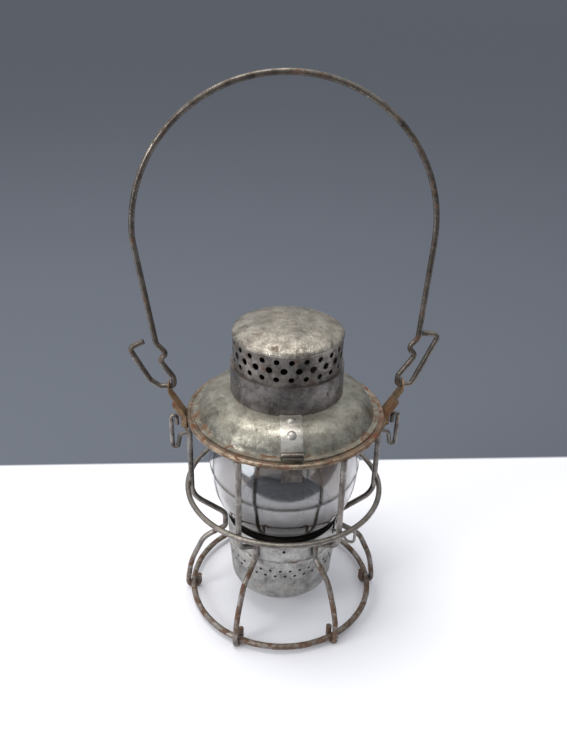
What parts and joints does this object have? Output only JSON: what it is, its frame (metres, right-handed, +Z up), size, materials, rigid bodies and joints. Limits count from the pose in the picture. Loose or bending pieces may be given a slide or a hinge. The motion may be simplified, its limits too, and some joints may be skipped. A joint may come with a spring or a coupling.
{
  "type": "railroad lantern",
  "caption": "Kerosene hand lantern with a welded wire cage, clear glass globe, hinged vented lid, lift-out oil pot, wick raiser and a swinging wire bail.",
  "frame": {"origin": "on the floor at the middle of the base ring", "axes": "+Z up along the lantern's axis, +X towards the right-hand bail ear, -Y towards the latch side that faces the user"},
  "size_m": [0.235, 0.1644, 0.4395],
  "materials": {
    "cage_steel": "old tinned steel wire, darkened with brown rust",
    "ring_steel": "dull tinned sheet steel with a tan patina",
    "rusty_steel": "rusted folded sheet steel",
    "pin_steel": "plain steel wire, dull",
    "tinplate": "pale grey tinplate, worn",
    "brass": "tarnished brass",
    "cotton": "woven cotton wick",
    "globe_glass": "clear pressed glass, dusty",
    "lid_steel": "tinned sheet steel, khaki grey patina with dents and rust at the seams",
    "strap_steel": "bare sheet steel, dull grey",
    "bail_steel": "dark steel wire, brown at the bends"
  },
  "bodies": {
    "frame": {"base_ring": "cage_steel", "guard_ring": "cage_steel", "top_ring": "ring_steel", "cage_wire_right": "cage_steel", "cage_wire_rear_right": "cage_steel", "cage_wire_rear_left": "cage_steel", "cage_wire_left": "cage_steel", "cage_wire_front_left": "cage_steel", "cage_wire_front_right": "cage_steel", "ear_left": "rusty_steel", "ear_right": "rusty_steel", "side_hook_left": "cage_steel", "side_hook_right": "cage_steel", "hinge_bracket": "ring_steel", "hinge_pin": "pin_steel", "pot_holder": "tinplate", "fuel_font": "tinplate", "font_collar": "brass", "burner_body": "brass", "wick_tube": "brass", "flame_cone": "brass", "globe_seat": "tinplate", "globe": "globe_glass"},
    "lid": {"bell": "lid_steel", "chimney_collar": "lid_steel", "vent_band": "lid_steel", "dome_cap": "lid_steel", "globe_retainer": "tinplate", "hinge_strap": "strap_steel", "latch_strap": "strap_steel", "strap_rivets": "strap_steel", "latch_pin": "pin_steel"},
    "latch": {"latch_tongue": "strap_steel"},
    "wick_raiser": {"raiser_shaft": "pin_steel", "raiser_wheels": "brass"},
    "wick": {"wick": "cotton"},
    "bail": {"bail": "bail_steel"}
  },
  "joints": [
    {"name": "lid_hinge", "type": "hinge", "parent": "frame", "child": "lid", "pos_m": [0, 0.0804, 0.19], "axis": [-1, 0, 0], "range_deg": [0, 110]},
    {"name": "latch_press", "type": "hinge", "parent": "lid", "child": "latch", "pos_m": [0, -0.0703, 0.192], "axis": [1, 0, 0], "range_deg": [0, 16], "stiffness_Nm_per_rad": 0.08},
    {"name": "raiser_turn", "type": "hinge", "parent": "frame", "child": "wick_raiser", "pos_m": [0.0016, 0.00277, 0.08], "axis": [0.866, -0.5, 0], "range_deg": [-165, 195]},
    {"name": "wick_lift", "type": "slide", "parent": "frame", "child": "wick", "axis": [0, 0, 1], "range_m": [-0.00748, 0.00633]},
    {"name": "bail_swing", "type": "hinge", "parent": "frame", "child": "bail", "pos_m": [0, 0, 0.2095], "axis": [1, 0, 0], "range_deg": [-120, 120]}
  ],
  "couplings": [
    {"joint": "raiser_turn", "follows": "wick_lift", "rad_per_m": -454.55}
  ]
}
